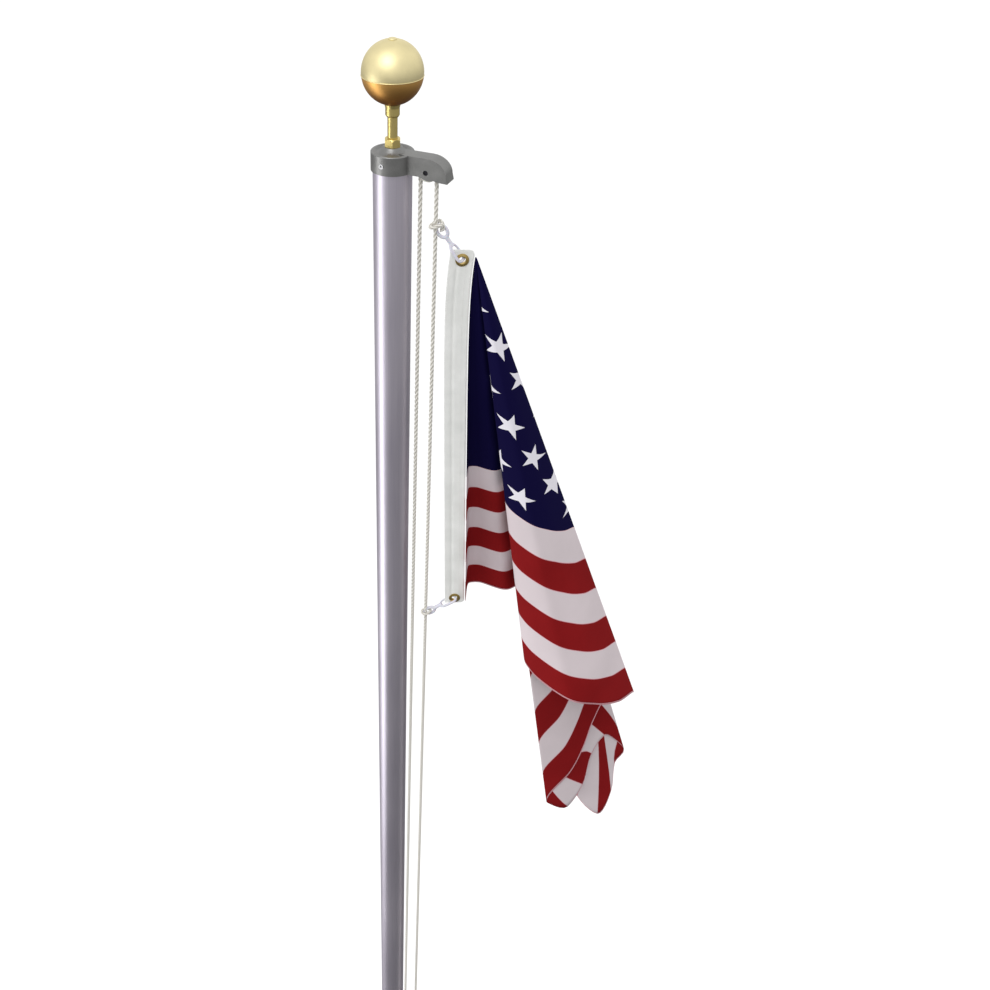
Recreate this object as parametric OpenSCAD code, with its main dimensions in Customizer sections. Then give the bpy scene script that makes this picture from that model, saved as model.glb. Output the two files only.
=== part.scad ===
// Ground-set aluminium flagpole: gold ball finial, stationary truck with one sheave,
// a closed loop of halyard belayed on a cleat, and a flag clipped to the halyard.
//
// Millimetres, +Z up. The origin is the centre of the pole's foot, at ground level.
// The truck's arm, the cleat and the flag are on the +X side.

/* [Pole] */
// Height of the tube's top above the ground
pole_h = 4572; // [4200:1:5000]
// Outside diameter of the straight tube
pole_d = 50.8; // [48:0.1:54]
// Wall of the tube
pole_wall = 2.5; // [2:0.1:3]
// Length of the lower section's swaged end, inside the upper section
spigot_h = 150; // [100:1:200]
// Diameter of the flash collar on the ground
collar_d = 152; // [140:1:180]
// Height of the flash collar
collar_h = 38; // [30:1:50]

/* [Truck] */
// Diameter of the cap that sits over the pole's top
cap_d = 55.6; // [55:0.1:58]
// Height of the cap from its rim to its skirt
cap_h = 24; // [22:0.5:28]
// Width of the arm
arm_w = 22; // [20:0.5:24]
// Reach of the arm from the pole's axis to its nose
arm_reach = 79.5; // [78:0.5:82]
// Distance from the pole's axis to the sheave's axle
axle_x = 50; // [49:0.5:51]
// Depth of the axle below the cap's rim
axle_drop = 18; // [17.5:0.1:18.5]
// Radius of the rope's centre line round the sheave
sheave_pitch_r = 11; // [10.8:0.1:11.2]

/* [Ball] */
// Diameter of the ball
ball_d = 76.2; // [74:0.1:80]
// Height of the ball's centre above the cap's rim
ball_rise = 94.5; // [93:0.5:100]
// Diameter of the threaded spindle
spindle_d = 12.7; // [12:0.1:13]

/* [Halyard] */
// Diameter of the rope
rope_d = 6; // [5.8:0.1:6]
// Height of the cleat above the ground
cleat_z = 1370; // [1200:1:1500]
// Length of the cleat from horn to horn
cleat_len = 152; // [148:1:156]

/* [Flag] */
// Length of the flag along the hoist
hoist_len = 610; // [600:1:620]
// Length of the flag along the fly, in hoists
fly_ratio = 1.667; // [1.6:0.001:1.7]
// Width of the canvas header
header_w = 32; // [31:0.5:34]
// Depth of the flag's top corner below the cap's rim
flag_drop = 130; // [128:1:134]
// Thickness of the cloth's solid
cloth_t = 2.4; // [2:0.1:3]

/* [Hidden] */

$fn = 96;
fit = 0.1;                       // radial gap of fixed pieces
bore_r = pole_d / 2 - pole_wall;
section_h = pole_h / 2;
rim_z = pole_h + 4;              // the cap's web is 4 thick over the tube
axle_z = rim_z - axle_drop;
ball_z = rim_z + ball_rise;
ball_r = ball_d / 2;
ball_shell = 1.2;
seam_drop = 3.2;                 // the ball's halves meet below its equator
boss_h = 5.5;
nut_af = 19;
nut_h = 10;
ferrule_h = 15.5;
axle_r = 3.2;
slot_w = 12;
sheave_w = 10;
sheave_r = 13.6;
sheave_gap = 1.2;                // between the sheave's rim and the slot
rope_r = rope_d / 2;
set_screw_z = rim_z - 12.5;
set_screw_turn = 96;             // from the arm's direction
set_screw_r = 3.15;

// ---------------------------------------------------------------- vectors

function unit(v) = v / norm(v);
function mix(a, b, t) = a + (b - a) * t;

// A rigid frame whose local Z runs from a towards b, and whose local Y lies as near to up as it can
module from_to(a, b, up) {
    z = unit(b - a);
    x = unit(cross(up, z));
    y = cross(z, x);
    multmatrix([
        [x.x, y.x, z.x, a.x],
        [x.y, y.y, z.y, a.y],
        [x.z, y.z, z.z, a.z],
        [0, 0, 0, 1]
    ]) children();
}

// ---------------------------------------------------------------- pole

module pole_lower_section() {
    color("#a9a6b4") difference() {
        union() {
            cylinder(d = pole_d, h = section_h);
            cylinder(r = bore_r - fit, h = section_h + spigot_h);
        }
        translate([0, 0, -1]) cylinder(r = bore_r, h = section_h - 11);
        translate([0, 0, -1]) cylinder(r = bore_r - pole_wall, h = section_h + spigot_h + 2);
        for (side = [-1, 1])
            cleat_screw_place(side) cylinder(r = cleat_screw_r + fit, h = 30, center = true);
    }
}

module pole_upper_section() {
    color("#b4b1bd") translate([0, 0, section_h]) difference() {
        cylinder(d = pole_d, h = pole_h - section_h);
        translate([0, 0, -1]) cylinder(r = bore_r, h = pole_h - section_h + 2);
    }
}

// Spun cover over the ground sleeve: a low bell that is open at its foot
module flash_collar() {
    neck_r = pole_d / 2 + fit;
    t = 1.6;
    outer = [for (a = [0:6:90]) [
        neck_r + 3 + (collar_d / 2 - neck_r - 3) * (1 - sin(90 - a)),
        collar_h - 5 - (collar_h - 5 - t) * sin(a)
    ]];
    inner = [for (i = [len(outer) - 1:-1:0]) outer[i] + [-t * i / (len(outer) - 1), -t]];
    color("#b9b9bf") rotate_extrude() polygon(concat(
        [[neck_r, collar_h], [neck_r + 2, collar_h]],
        outer,
        [[collar_d / 2, 0], [collar_d / 2 - t, 0]],
        inner,
        [[neck_r, collar_h - 5 - t]]
    ));
}

// ---------------------------------------------------------------- truck

// The arm's side outline, x from the pole's axis and y from the rim
arm_outline = concat(
    [[0, 0], [52, 0]],
    [for (a = [90:-9:0]) [52 + (arm_reach - 52) * cos(a) * 0.93, -20 + 20 * sin(a)]],
    [[arm_reach, -28], [66, -27.5]],
    [for (a = [-60:-15:-120]) [54 + 13 * cos(a), -15 + 13 * sin(a)]],
    [[40, -cap_h], [0, -cap_h]]
);

module arm_slab(w) {
    translate([0, w / 2, 0]) rotate([90, 0, 0]) linear_extrude(w) children();
}

module truck_casting() {
    crown_r = cap_d / 2;
    slot_r = sheave_r + sheave_gap;
    color("#85858a") translate([0, 0, rim_z]) difference() {
        union() {
            rotate_extrude() polygon([
                [0, -cap_h], [crown_r, -cap_h], [crown_r, -1], [crown_r - 1, 0],
                [crown_r - 3.5, 0], [crown_r - 6, -1.6], [19, -1.2], [16, 0.8],
                [13.5, 3.4], [12.4, boss_h - 0.5], [11.8, boss_h], [0, boss_h]
            ]);
            arm_slab(arm_w) polygon(arm_outline);
        }
        translate([0, 0, -cap_h - 6]) cylinder(r = pole_d / 2 + fit, h = cap_h + 2);
        translate([0, 0, -8]) cylinder(d = spindle_d + 2 * fit, h = 20);
        translate([axle_x, 0, -axle_drop]) rotate([90, 0, 0])
            cylinder(r = axle_r + fit, h = arm_w + 2, center = true);
        // the slot for the sheave is round above and open below
        translate([axle_x, 0, -axle_drop]) rotate([90, 0, 0])
            cylinder(r = slot_r, h = slot_w, center = true);
        translate([axle_x - slot_r, -slot_w / 2, -50]) cube([2 * slot_r, slot_w, 50 - axle_drop]);
        for (side = [-1, 1])
            rotate([0, 0, side * set_screw_turn]) translate([0, 0, set_screw_z - rim_z])
                rotate([0, 90, 0]) cylinder(r = set_screw_r + fit, h = crown_r + 2);
    }
}

module set_screw(side) {
    color("#9a9a9c") translate([0, 0, set_screw_z]) rotate([0, 0, side * set_screw_turn])
        rotate([0, 90, 0]) translate([0, 0, pole_d / 2 + 2 * fit]) difference() {
            cylinder(r = set_screw_r, h = 2.6);
            translate([0, 0, 1.2]) cylinder(d = 3.6, h = 3, $fn = 6);
        }
}

module truck_set_screw_front() { set_screw(-1); }
module truck_set_screw_rear() { set_screw(1); }

module sheave() {
    groove_r = rope_r + 0.35;
    color("#e4e2dc") translate([axle_x, 0, axle_z]) rotate([90, 0, 0]) difference() {
        cylinder(r = sheave_r, h = sheave_w, center = true);
        cylinder(r = axle_r + 0.06, h = sheave_w + 2, center = true);
        rotate_extrude() {
            translate([sheave_pitch_r, 0]) circle(r = groove_r);
            translate([sheave_pitch_r, -groove_r]) square([10, 2 * groove_r]);
        }
    }
}

module sheave_axle() {
    color("#6f6d68") translate([axle_x, 0, axle_z]) rotate([90, 0, 0])
        cylinder(r = axle_r, h = arm_w - 2, center = true);
}

// ---------------------------------------------------------------- ball and spindle

module spindle() {
    foot = rim_z - 4;
    top = ball_z - ball_r + 4;
    color("#c9a84f") translate([0, 0, foot]) cylinder(d = spindle_d, h = top - foot);
}

module lock_nut() {
    nut_z = rim_z + boss_h;
    corner_r = nut_af / sqrt(3);
    color("#d8bd66") translate([0, 0, nut_z]) rotate([0, 0, -5]) difference() {
        intersection() {
            cylinder(r = corner_r, h = nut_h, $fn = 6);
            rotate_extrude() polygon([
                [0, 0], [corner_r, 0], [corner_r, nut_h - 2.4], [corner_r - 1.6, nut_h], [0, nut_h]
            ]);
        }
        translate([0, 0, -1]) cylinder(r = spindle_d / 2 + fit, h = nut_h + 2);
    }
}

module ball_ferrule() {
    top = ball_z - ball_r + 1;
    color("#c49a45") translate([0, 0, top - ferrule_h]) difference() {
        rotate_extrude() polygon([
            [0, 0], [7.4, 0], [9, 2.4], [9, ferrule_h - 4.4], [10.2, ferrule_h], [0, ferrule_h]
        ]);
        translate([0, 0, -1]) cylinder(r = spindle_d / 2 + fit, h = ferrule_h + 2);
    }
}

// One part of the hollow ball, between two heights from the ball's centre
module ball_zone(low, high, hole_r) {
    translate([0, 0, ball_z]) difference() {
        intersection() {
            sphere(r = ball_r);
            translate([0, 0, low]) cylinder(r = ball_r + 1, h = high - low);
        }
        sphere(r = ball_r - ball_shell);
        cylinder(r = hole_r, h = 4 * ball_r, center = true);
    }
}

module ball_lower_half() {
    color("#b08438") ball_zone(-ball_r, -seam_drop, spindle_d / 2 + 4);
}

module ball_upper_half() {
    color("#e2d49a") ball_zone(-seam_drop, ball_r, 5.2);
}

module ball_plug() {
    top = sqrt(pow(ball_r, 2) - 25);
    color("#e9dfae") translate([0, 0, ball_z]) union() {
        translate([0, 0, top - 3]) cylinder(r = 5, h = 3);
        translate([0, 0, top]) rotate_extrude()
            polygon([[0, 0], [5.4, 0], [5.4, 0.5], [4.7, 1.2], [0, 1.3]]);
    }
}

// ---------------------------------------------------------------- halyard

// Where each fall of rope leaves the sheave, and where it meets the cleat's wraps
outer_top = [axle_x + sheave_pitch_r, 0, axle_z];
inner_top = [axle_x - sheave_pitch_r, 0, axle_z];
outer_foot = [54, 13, cleat_z + 100];
inner_foot = [36, -12, cleat_z + 100];
fall_dir = unit(outer_top - outer_foot);

// A point on the outer fall at a given depth below the rim
function fall_point(depth) = mix(outer_top, outer_foot,
    (depth - axle_drop) / (axle_z - outer_foot.z));

// Two figure-eight turns on the cleat, x from the pole's axis and z from the cleat's middle
wrap_route = [
    [50, 15, 60], [44, 16, 30], [40, 15, -4],
    [38, 10, -26], [37, 0, -32], [40, -11, -25],
    [54, -14, -8], [64, 0, 2], [55, 14, 12],
    [42, 13, 27], [37, 1, 34], [41, -11, 27],
    [57, -16, 14], [71, 0, 3], [58, 17, -12],
    [43, 16, -32], [37, 1, -41], [43, -15, -36],
    [52, -21, -16], [47, -20, 20], [39, -15, 62]
];

// Catmull-Rom curve through a list of points
function spline(p, i, t) =
    let (a = p[max(i - 1, 0)], b = p[i], c = p[i + 1], d = p[min(i + 2, len(p) - 1)])
    0.5 * (2 * b + (c - a) * t + (2 * a - 5 * b + 4 * c - d) * t * t
        + (3 * b - 3 * c + d - a) * t * t * t);

wrap_knots = concat([outer_foot - [0, 0, cleat_z]], wrap_route, [inner_foot - [0, 0, cleat_z]]);
wrap_points = [for (i = [0:len(wrap_knots) - 2], t = [0:1 / 3:0.99])
    spline(wrap_knots, i, t) + [0, 0, cleat_z]];
sheave_points = [for (a = [180:-20:0])
    [axle_x + sheave_pitch_r * cos(a), 0, axle_z + sheave_pitch_r * sin(a)]];
halyard_points = concat(wrap_points, [inner_foot], sheave_points);

// A closed tube: a ring of corners about each point, square to the run through it
function ring(p, i, n, side) =
    let (
        a = p[(i + len(p) - 1) % len(p)],
        b = p[(i + 1) % len(p)],
        z = unit(unit(p[i] - a) + unit(b - p[i])),
        x = unit(cross(side[i], z)),
        y = cross(z, x)
    )
    [for (k = [0:n - 1]) p[i] + rope_r * (x * cos(360 * k / n) + y * sin(360 * k / n))];

// The side vector is carried from ring to ring, so that the tube doesn't twist
function carried(p, i = 0, side = [0, 1, 0], done = []) =
    i == len(p) ? done :
    let (z = unit(p[(i + 1) % len(p)] - p[(i + len(p) - 1) % len(p)]), s = unit(side - z * (side * z)))
    carried(p, i + 1, s, concat(done, [s]));

// How far, in corners, the first ring is turned from where the carried side vector comes back to
function loop_shift(p, side, n) =
    let (
        z = unit(p[1] - p[len(p) - 1]),
        s = side[len(p) - 1],
        back = unit(s - z * (s * z)),
        turn = atan2(cross(side[0], back) * z, side[0] * back)
    )
    round(turn * n / 360);

module closed_tube(p, n) {
    side = carried(p);
    shift = loop_shift(p, side, n);
    m = len(p);
    corners = [for (i = [0:m - 1]) each ring(p, i, n, side)];
    faces = [for (i = [0:m - 1], k = [0:n - 1])
        let (next = (i + 1) % m, s = i == m - 1 ? n - shift : 0)
        [i * n + k, i * n + (k + 1) % n, next * n + (k + 1 + s) % n, next * n + (k + s) % n]];
    polyhedron(corners, faces);
}

module halyard() {
    color("#f1f0ec") closed_tube(halyard_points, 10);
}

cleat_screw_r = 2.4;
cleat_base_t = 5;
cleat_face = pole_d / 2 + cleat_base_t;

// A frame on the cleat's base, with Z out from the pole; side is -1 below and 1 above
module cleat_screw_place(side) {
    translate([cleat_face, 0, cleat_z + side * 21]) rotate([0, 90, 0]) children();
}

module cleat() {
    bar_x = 51;
    color("#b5b5ba") difference() {
        union() {
            // foot, hollowed to sit on the tube
            translate([pole_d / 2 - 3, -9, cleat_z - 29]) cube([cleat_base_t + 3, 18, 58]);
            // post between the foot and the bar
            translate([pole_d / 2, -6, cleat_z - 15]) cube([bar_x - pole_d / 2, 12, 30]);
            // bar with two tapering horns
            translate([bar_x, 0, cleat_z]) rotate_extrude() polygon([
                [0, -cleat_len / 2], [3, -cleat_len / 2 + 0.6], [4.2, -cleat_len / 2 + 3],
                [6.8, -16], [7.4, 0], [6.8, 16],
                [4.2, cleat_len / 2 - 3], [3, cleat_len / 2 - 0.6], [0, cleat_len / 2]
            ]);
        }
        cylinder(r = pole_d / 2 + fit, h = 2 * cleat_z);
        for (side = [-1, 1])
            cleat_screw_place(side) translate([0, 0, -10])
                cylinder(r = cleat_screw_r + fit, h = 12);
    }
}

module cleat_screw(side) {
    color("#c8c8cc") cleat_screw_place(side) difference() {
        union() {
            rotate_extrude() polygon([[0, 0], [4.6, 0], [4.4, 1.4], [2.6, 2.6], [0, 2.9]]);
            translate([0, 0, -12]) cylinder(r = cleat_screw_r, h = 13);
        }
        translate([-0.5, -5, 1.5]) cube([1, 10, 3]);
    }
}

module cleat_screw_upper() { cleat_screw(1); }
module cleat_screw_lower() { cleat_screw(-1); }

// ---------------------------------------------------------------- snaps and hitches

view_turn = 25;                  // the flag hangs in a plane turned this far from the arm
fan_out = [cos(view_turn), sin(view_turn), 0];
fan_front = [sin(view_turn), -cos(view_turn), 0];

hoist_lean = 11;                 // how far the hoist edge's foot swings out
hoist_drop = sqrt(pow(hoist_len, 2) - pow(hoist_lean, 2));
header_t = 2.4;
grommet_hole_r = 4.8;
grommet_in = 16;                 // from the hoist edge to the grommets
snap_t = 4.6;
snap_eye_r = 8;
bay_w = 13;
shank_h = 20;                    // from the snap's eye to where its hook opens out

hoist_top = [108, 22, rim_z - flag_drop];
hoist_foot = hoist_top + hoist_lean * fan_out - [0, 0, hoist_drop];
upper_grommet_at = hoist_top - grommet_in * fan_out - [0, 0, 6];
lower_grommet_at = hoist_foot - grommet_in * fan_out + [0, 0, 3];
upper_hitch_at = fall_point(88);
lower_hitch_at = fall_point(772);
upper_eye_at = upper_hitch_at + [10, 6.5, -11];
lower_eye_at = lower_hitch_at + [12.5, 6, 4];

// Turns of rope round the fall, with running clearance on it, that hold the snap's eye
module hitch(at, eye, hole) {
    color("#eceae4") difference() {
        from_to(at - 6 * fall_dir, at + 6 * fall_dir, [0, 1, 0]) difference() {
            rotate_extrude() hull() {
                translate([6.6, 3]) circle(r = 2.6);
                translate([6.6, 9]) circle(r = 2.6);
            }
            translate([0, 0, -1]) cylinder(r = rope_r + 0.5, h = 14);
        }
        snap_solid(eye, hole, snap_t + 4 * fit) circle(r = snap_eye_r + 2 * fit);
    }
}

// Outline of the snap: x across, y from the eye's middle towards the hook's end
module snap_outline(len) {
    difference() {
        union() {
            circle(r = snap_eye_r);
            translate([-4, 0]) square([8, shank_h + 4]);
            hull() {
                for (x = [-1, 1]) {
                    translate([x * (bay_w / 2 - 1.5), len - 3.4]) circle(r = 6);
                    translate([x * 3.5, shank_h]) circle(r = 4);
                }
            }
        }
        circle(r = 4.2);
        hull() {
            for (x = [-1, 1]) {
                translate([x * (bay_w / 2 - 3), len - 5.5]) circle(r = 3);
                translate([x * 1.6, shank_h + 5]) circle(r = 2);
            }
        }
    }
}

// The strip along one side of the bay that the gate closes
module gate_strip(len, gap) {
    low = shank_h + 5 - gap;
    translate([-bay_w / 2 - 7, low]) square([bay_w / 2 + 5, len - 10 + gap - low]);
}

// Stands an outline up between the eye and the grommet's hole, flat side square to the header
module snap_solid(eye, hole, t = snap_t) {
    from_to(eye, hole, fan_front) rotate([90, 0, 90])
        translate([0, 0, -t / 2]) linear_extrude(t) children();
}

module snap_body(eye, hole) {
    color("#f0eff4") snap_solid(eye, hole) difference() {
        snap_outline(norm(hole - eye));
        gate_strip(norm(hole - eye), 0.3);
    }
}

module snap_gate(eye, hole) {
    color("#e6e5ee") snap_solid(eye, hole) intersection() {
        snap_outline(norm(hole - eye));
        gate_strip(norm(hole - eye), 0);
    }
}

module upper_hitch() { hitch(upper_hitch_at, upper_eye_at, upper_grommet_at); }
module lower_hitch() { hitch(lower_hitch_at, lower_eye_at, lower_grommet_at); }
module upper_snap() { snap_body(upper_eye_at, upper_grommet_at); }
module upper_snap_gate() { snap_gate(upper_eye_at, upper_grommet_at); }
module lower_snap() { snap_body(lower_eye_at, lower_grommet_at); }
module lower_snap_gate() { snap_gate(lower_eye_at, lower_grommet_at); }

// ---------------------------------------------------------------- flag

module grommet(at) {
    color("#b89a4c") translate(at) rotate([0, 0, view_turn]) rotate([90, 0, 0])
        rotate_extrude() polygon([
            [grommet_hole_r, -2.2], [5.6, -2.4], [9, -header_t / 2 - 0.5], [9, -header_t / 2],
            [5.6, -header_t / 2], [5.6, header_t / 2], [9, header_t / 2],
            [9, header_t / 2 + 0.5], [5.6, 2.4], [grommet_hole_r, 2.2]
        ]);
}

module upper_grommet() { grommet(upper_grommet_at); }
module lower_grommet() { grommet(lower_grommet_at); }

// The header's outline, x along the flag's plane from the hoist's top and y up from there
module header_outline() {
    over = 8;                    // the header runs past the cloth at both ends
    corner_r = 7;
    slope = [hoist_lean, -hoist_drop] / hoist_len;
    top = -over * slope;
    foot = [hoist_lean, -hoist_drop] + over * slope;
    polygon(concat(
        [top - [header_w, 0], foot - [header_w, 0]],
        [for (a = [-90:15:0]) foot + corner_r * [cos(a) - 1, sin(a) + 1]],
        [for (a = [0:15:90]) top + corner_r * [cos(a) - 1, sin(a) - 1]]
    ));
}

module flag_header() {
    color("#e4e3e0") difference() {
        translate(hoist_top) rotate([0, 0, view_turn]) rotate([90, 0, 0])
            translate([0, 0, -header_t / 2]) linear_extrude(header_t) header_outline();
        for (at = [upper_grommet_at, lower_grommet_at])
            translate(at) rotate([0, 0, view_turn]) rotate([90, 0, 0])
                cylinder(r = 5.7, h = 10, center = true);
    }
}

// The cloth hangs from the top of the hoist in folds that fan out from that one corner. Each
// crease is [angle in the flat cloth from the hoist, swing outward, swing forward, stretch].
creases = [
    [0, 1.03, 0.6, 1], [4.5, 1.8, -3.7, 1], [8.5, 3.5, -4.2, 1],
    [12, 7.2, -2.9, 1], [16.5, 10.5, -5, 1], [21, 15, -6, 1], [24, 17.7, -5.9, 1],
    [27, 15, -5.3, 1], [31.5, 10.5, -4.3, 1], [34, 9.3, -2, 1], [36, 9, 0.1, 1.01],
    [37.5, 9.6, 1.1, 1.01], [39.5, 11.3, 2.4, 1.01], [42, 13.8, 3.3, 1.01], [45, 16.6, 2.1, 1.01],
    [48, 19, -0.5, 1.01], [50, 20.7, -3.2, 1.01], [50.5, 18, -3.4, 1], [52.5, 15.7, -2.6, 1],
    [55, 13.9, -1.8, 1], [57, 12.2, -1.3, 1], [59, 9.5, -0.8, 1.006], [61, 11.4, -1.4, 1.06],
    [63, 13.1, -2.2, 1.045], [65, 14.5, -3, 1], [67.5, 16.4, -3.6, 0.98], [68.5, 17.8, -4, 1.05],
    [69.5, 16.6, -3.9, 1.09], [72, 15.6, -3.7, 1.19], [74.5, 13.9, -3.4, 1.27], [78, 12.2, -3.5, 1.19],
    [82, 15, -4, 1.12], [86, 12.9, -4.2, 1.09], [90, 15, -4.6, 1.05]
];
cloth_off = 1.5;                 // the cloth starts this far outside the header's edge
fly_len = hoist_len * fly_ratio;

// How far the cloth's edge is from the corner, along a crease
function reach(c) = c[3] * (tan(c[0]) < fly_ratio ? hoist_len / cos(c[0]) : fly_len / sin(c[0]));
function crease_dir(c) = cos(c[2]) * (sin(c[1]) * fan_out - cos(c[1]) * [0, 0, 1])
    + sin(c[2]) * fan_front;
function cloth_corner(c, part) = hoist_top + cloth_off * fan_out + crease_dir(c) * reach(c) * part;

// A flat panel of cloth between two creases
module panel(a, b) {
    near = 0.03;
    p = [cloth_corner(a, near), cloth_corner(a, 1), cloth_corner(b, 1), cloth_corner(b, near)];
    n = unit(cross(p[1] - p[0], p[2] - p[0])) * cloth_t / 2;
    polyhedron(
        [for (s = [-1, 1], q = p) q + s * n],
        [[0, 1, 2, 3], [7, 6, 5, 4], [4, 5, 1, 0], [5, 6, 2, 1], [6, 7, 3, 2], [7, 4, 0, 3]]
    );
}

module flag_cloth() {
    color("#8d1b20") for (i = [0:len(creases) - 2]) panel(creases[i], creases[i + 1]);
}

// ---------------------------------------------------------------- nodes

pole_lower_section();
pole_upper_section();
flash_collar();
truck_casting();
truck_set_screw_front();
truck_set_screw_rear();
sheave();
sheave_axle();
spindle();
lock_nut();
ball_ferrule();
ball_lower_half();
ball_upper_half();
ball_plug();
halyard();
cleat();
cleat_screw_upper();
cleat_screw_lower();
upper_hitch();
upper_snap();
upper_snap_gate();
lower_hitch();
lower_snap();
lower_snap_gate();
flag_header();
upper_grommet();
lower_grommet();
flag_cloth();
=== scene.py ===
"""Looks of the flagpole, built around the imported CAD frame. Metres, +Z up, origin at the pole's foot."""

import math

import bmesh
import bpy
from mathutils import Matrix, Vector, noise


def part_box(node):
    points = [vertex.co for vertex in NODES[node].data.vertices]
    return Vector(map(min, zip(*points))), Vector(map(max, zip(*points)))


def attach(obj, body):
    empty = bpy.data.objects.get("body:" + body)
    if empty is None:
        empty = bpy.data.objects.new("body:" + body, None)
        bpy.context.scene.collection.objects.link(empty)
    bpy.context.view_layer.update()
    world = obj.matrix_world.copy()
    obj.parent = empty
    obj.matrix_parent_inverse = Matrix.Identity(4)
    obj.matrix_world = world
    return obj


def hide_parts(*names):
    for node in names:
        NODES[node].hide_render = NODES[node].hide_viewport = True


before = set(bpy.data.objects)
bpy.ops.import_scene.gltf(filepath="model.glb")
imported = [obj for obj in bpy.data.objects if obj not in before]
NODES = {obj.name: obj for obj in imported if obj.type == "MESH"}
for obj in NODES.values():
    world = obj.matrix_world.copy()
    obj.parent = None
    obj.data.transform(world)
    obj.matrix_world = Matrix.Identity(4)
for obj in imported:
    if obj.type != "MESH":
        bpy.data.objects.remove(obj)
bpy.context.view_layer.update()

MM = 0.001
UP = Vector((0, 0, 1))


def mm(x, y, z):
    return Vector((x, y, z)) * MM


def middle(node):
    low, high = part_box(node)
    return (low + high) / 2


# ---------------------------------------------------------------- places, from the frame

RIM_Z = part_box("truck_casting")[1].z - 5.5 * MM  # the cap's rim, below its raised boss
VIEW_TURN = math.radians(25)                     # the flag's plane and the camera are turned this far
ACROSS = Vector((math.cos(VIEW_TURN), math.sin(VIEW_TURN), 0))
OUTWARD = Vector((math.sin(VIEW_TURN), -math.cos(VIEW_TURN), 0))

AXLE = middle("sheave")
SHEAVE_PITCH_R = 11 * MM
CLEAT_Z = middle("cleat").z
OUTER_TOP = AXLE + mm(11, 0, 0)
OUTER_FOOT = mm(54, 13, 100) + UP * CLEAT_Z
INNER_FOOT = mm(36, -12, 100) + UP * CLEAT_Z
ROPE_R = 3.0 * MM

GROMMET_IN = 16 * MM                             # from the hoist edge to the grommets
UPPER_HOLE = middle("upper_grommet")
LOWER_HOLE = middle("lower_grommet")
HOIST_TOP = UPPER_HOLE + ACROSS * GROMMET_IN + mm(0, 0, 6)
HOIST_FOOT = LOWER_HOLE + ACROSS * GROMMET_IN - mm(0, 0, 3)
HOIST_LEN = (HOIST_FOOT - HOIST_TOP).length
DOWN_HOIST = (HOIST_FOOT - HOIST_TOP).normalized()
FLY_RATIO = 1.667


def fall_point(depth):
    """A point on the outer fall of the halyard, this far below the cap's rim."""
    part = (RIM_Z - depth - OUTER_TOP.z) / (OUTER_FOOT.z - OUTER_TOP.z)
    return OUTER_TOP.lerp(OUTER_FOOT, part)


def beside(at, across, out, up):
    """A point near `at`, in millimetres to the flag's side, outward and up."""
    return at + (ACROSS * across + OUTWARD * out + UP * up) * MM


# ---------------------------------------------------------------- making meshes

def add_piece(name, verts, faces, body, slot, material, stands_for=()):
    mesh = bpy.data.meshes.new(name)
    mesh.from_pydata([tuple(v) for v in verts], [], faces)
    mesh.validate()
    mesh.update()
    mesh.shade_smooth()
    mesh.materials.append(material)
    piece = bpy.data.objects.new(name, mesh)
    bpy.context.scene.collection.objects.link(piece)
    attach(piece, body)
    if stands_for:
        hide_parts(*stands_for)
    return piece


def apply_modifiers(piece):
    """Bakes a piece's modifiers into its own mesh."""
    graph = bpy.context.evaluated_depsgraph_get()
    done = bpy.data.meshes.new_from_object(piece.evaluated_get(graph))
    piece.modifiers.clear()
    piece.data = done


def catmull_rom(points, closed, per_span):
    """A smooth curve through all the points."""
    count = len(points)
    spans = count if closed else count - 1

    def pick(i):
        return points[i % count] if closed else points[min(max(i, 0), count - 1)]

    out = []
    for i in range(spans):
        a, b, c, d = (pick(i + k) for k in (-1, 0, 1, 2))
        for step in range(per_span):
            t = step / per_span
            out.append(0.5 * (2 * b + (c - a) * t + (2 * a - 5 * b + 4 * c - d) * t ** 2
                              + (3 * b - 3 * c + d - a) * t ** 3))
    if not closed:
        out.append(points[-1].copy())
    return out


def even_steps(points, closed, step):
    """The same polyline with its points an even distance apart."""
    line = points + [points[0]] if closed else points
    lengths = [0.0]
    for a, b in zip(line, line[1:]):
        lengths.append(lengths[-1] + (b - a).length)
    count = max(4, round(lengths[-1] / step))
    out = []
    i = 0
    for k in range(count if closed else count + 1):
        target = lengths[-1] * k / count
        while i < len(line) - 2 and lengths[i + 1] < target:
            i += 1
        span = max(lengths[i + 1] - lengths[i], 1e-9)
        out.append(line[i].lerp(line[i + 1], min(1.0, (target - lengths[i]) / span)))
    return out, lengths[-1]


def frames_along(points, closed):
    """Tangent and side vectors carried along the line without twist."""
    count = len(points)
    tangents = []
    for i in range(count):
        a = points[(i - 1) % count] if closed else points[max(i - 1, 0)]
        b = points[(i + 1) % count] if closed else points[min(i + 1, count - 1)]
        tangents.append((b - a).normalized())
    side = tangents[0].orthogonal().normalized()
    sides = []
    for t in tangents:
        side = (side - t * side.dot(t)).normalized()
        sides.append(side.copy())
    return tangents, sides


def tube(points, radii, sides=12, closed=False, flat=1.0, flat_side=None):
    """Corners and faces of a round or flattened tube along points, with closed ends."""
    tangents, carried = frames_along(points, closed)
    verts, faces = [], []
    for p, t, s, r in zip(points, tangents, carried, radii):
        x = s if flat_side is None else (flat_side - t * flat_side.dot(t)).normalized()
        y = t.cross(x)
        for k in range(sides):
            a = 2 * math.pi * k / sides
            verts.append(p + x * (r * flat * math.cos(a)) + y * (r * math.sin(a)))
    count = len(points)
    for i in range(count if closed else count - 1):
        j = (i + 1) % count
        for k in range(sides):
            n = (k + 1) % sides
            faces.append((i * sides + k, i * sides + n, j * sides + n, j * sides + k))
    if not closed:
        faces.append(tuple(reversed(range(sides))))
        faces.append(tuple(range((count - 1) * sides, count * sides)))
    return verts, faces


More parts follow.
